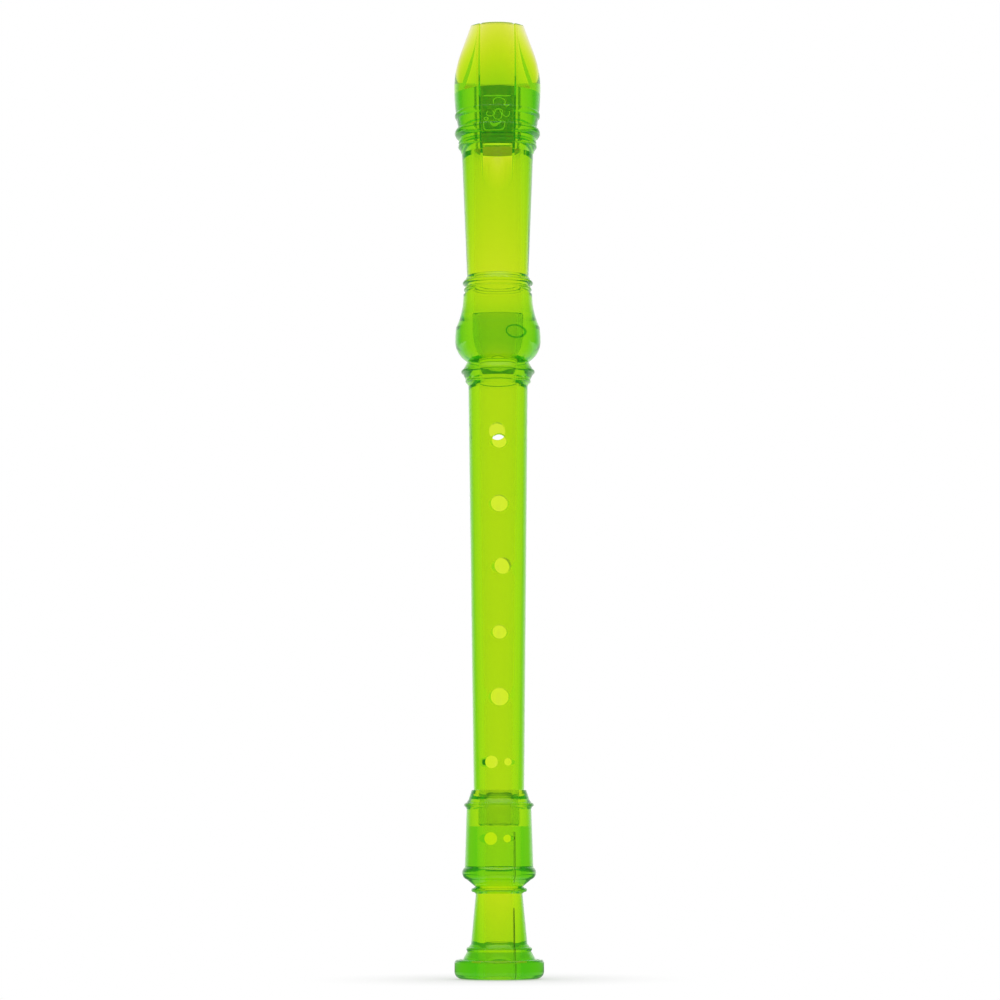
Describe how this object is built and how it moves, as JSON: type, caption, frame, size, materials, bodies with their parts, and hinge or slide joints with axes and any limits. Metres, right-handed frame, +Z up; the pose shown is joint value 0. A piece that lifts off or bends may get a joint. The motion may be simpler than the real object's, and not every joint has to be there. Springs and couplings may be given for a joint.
{
  "type": "soprano recorder",
  "caption": "Clear green plastic duct flute in three jointed sections, with a beak, a block, a window, finger holes, a thumb hole and a ringed foot to stand on.",
  "frame": {"origin": "centre of the flat rim that the recorder stands on", "axes": "+Z up along the bore towards the beak, -Y the way the finger holes face, +X to the right of someone who looks at the finger holes"},
  "size_m": [0.0305, 0.0304, 0.33],
  "materials": {
    "clear_plastic": "gloss, see-through lime green",
    "block_plastic": "gloss, see-through deep green"
  },
  "bodies": {
    "middle": {"middle_joint": "clear_plastic"},
    "head": {"head_joint": "clear_plastic", "block": "block_plastic"},
    "foot": {"foot_joint": "clear_plastic"}
  },
  "joints": [
    {"name": "head_slide", "type": "slide", "parent": "middle", "child": "head", "axis": [0, 0, 1], "range_m": [0, 0.012]},
    {"name": "foot_turn", "type": "hinge", "parent": "middle", "child": "foot", "pos_m": [0, 0, 0.057], "axis": [0, 0, 1], "continuous": true}
  ]
}
